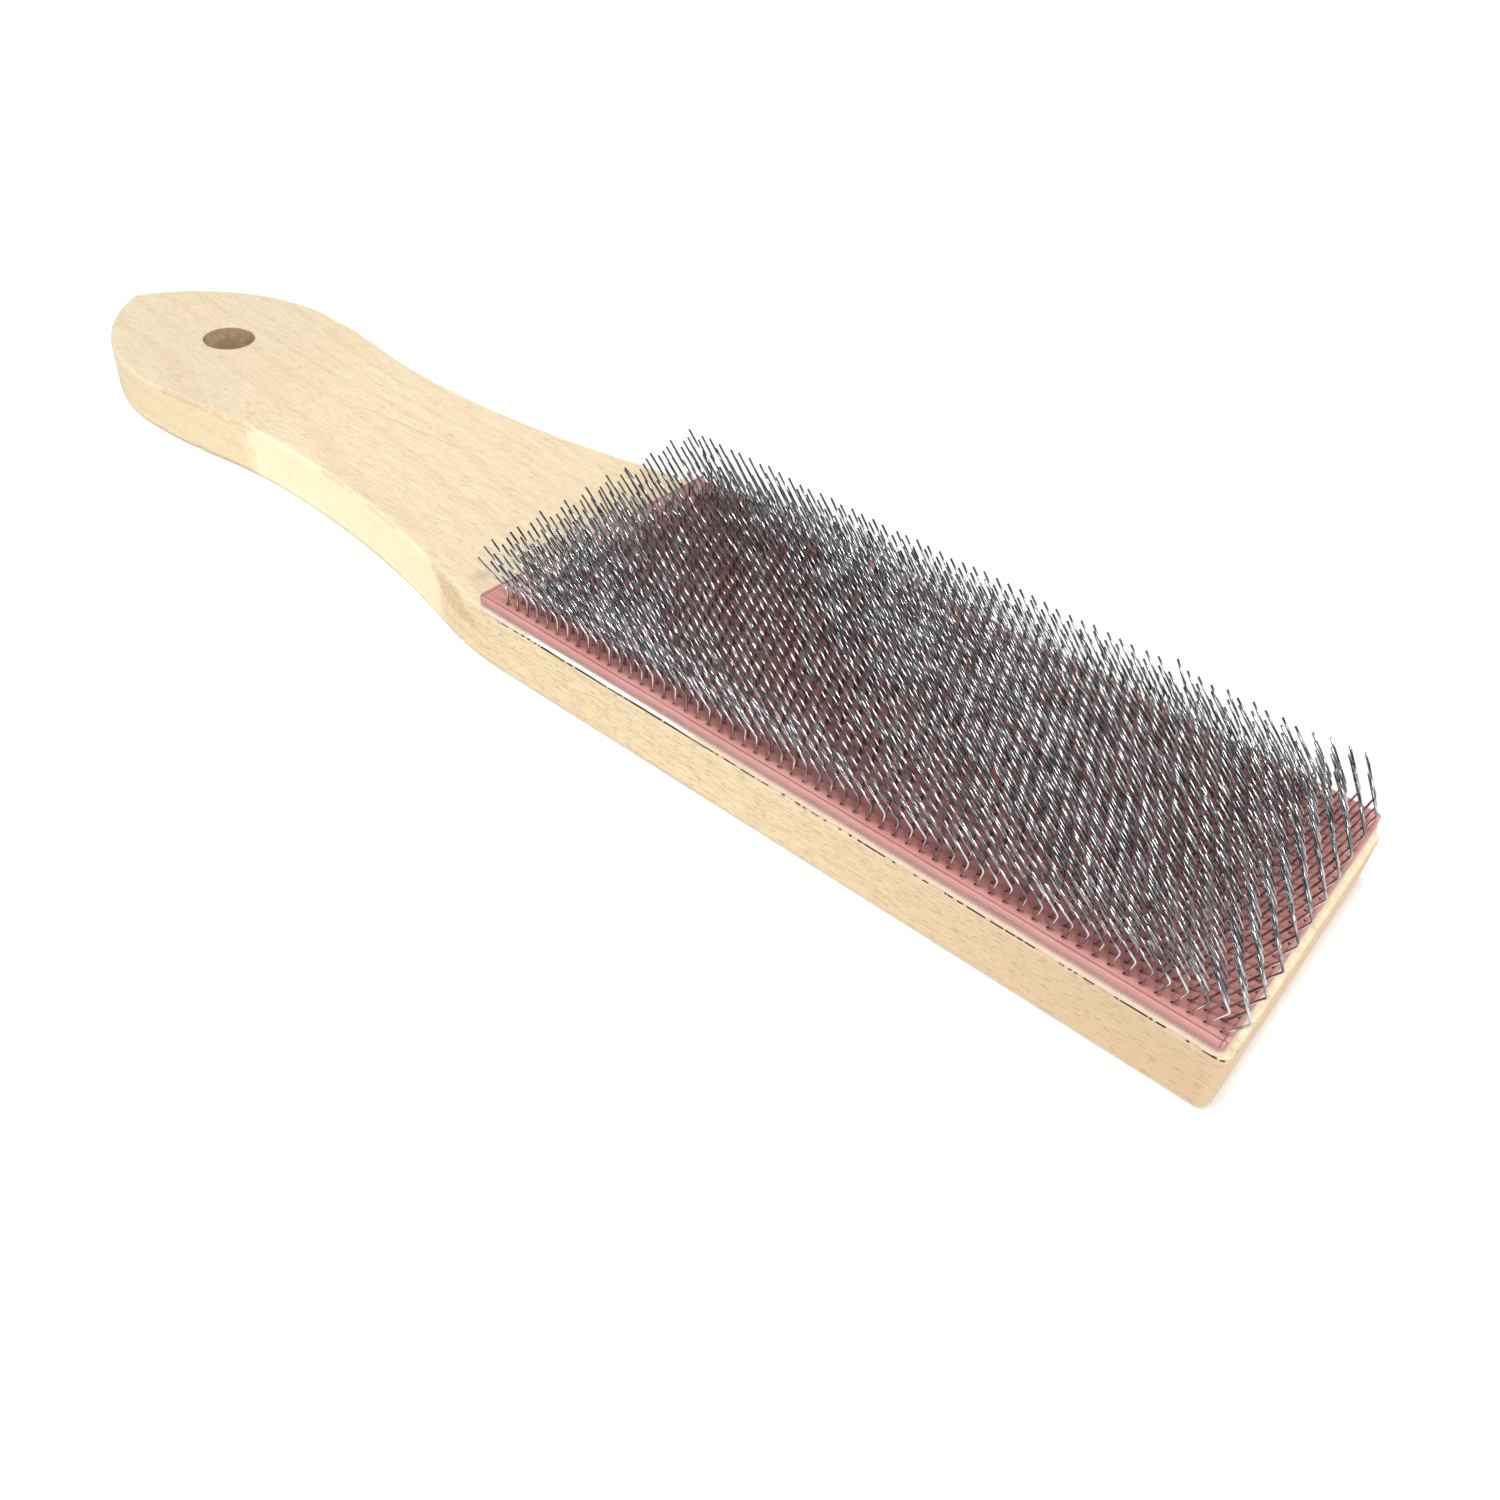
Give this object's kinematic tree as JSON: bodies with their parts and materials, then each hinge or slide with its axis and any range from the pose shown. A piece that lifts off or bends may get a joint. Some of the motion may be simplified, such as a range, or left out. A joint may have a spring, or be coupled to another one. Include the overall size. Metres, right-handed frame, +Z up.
{
  "type": "hand card",
  "caption": "Flat wooden paddle with a hanging hole and a glued sheet of card clothing: rubber-faced cloth set with rows of bent wire teeth.",
  "frame": {"origin": "centre of the bounding box on the paddle's flat underside", "axes": "+X along the paddle towards the block's free end, so the handle points to -X; +Z up towards the wire teeth; +Y across the block"},
  "size_m": [0.2359, 0.05, 0.018],
  "materials": {
    "beech": "fine sanded, unvarnished",
    "adhesive": "dried white glue",
    "cotton": "woven cotton plies",
    "rubber": "matt salmon pink rubber",
    "card_wire": "drawn steel wire"
  },
  "bodies": {
    "root": {"wooden_paddle": "beech", "glue_bed": "adhesive", "cotton_ply_lower": "cotton", "cotton_ply_middle": "cotton", "cotton_ply_upper": "cotton", "rubber_face": "rubber", "staple_row_01": "card_wire", "staple_row_02": "card_wire", "staple_row_03": "card_wire", "staple_row_04": "card_wire", "staple_row_05": "card_wire", "staple_row_06": "card_wire", "staple_row_07": "card_wire", "staple_row_08": "card_wire", "staple_row_09": "card_wire", "staple_row_10": "card_wire", "staple_row_11": "card_wire", "staple_row_12": "card_wire", "staple_row_13": "card_wire", "staple_row_14": "card_wire", "staple_row_15": "card_wire"}
  },
  "joints": []
}
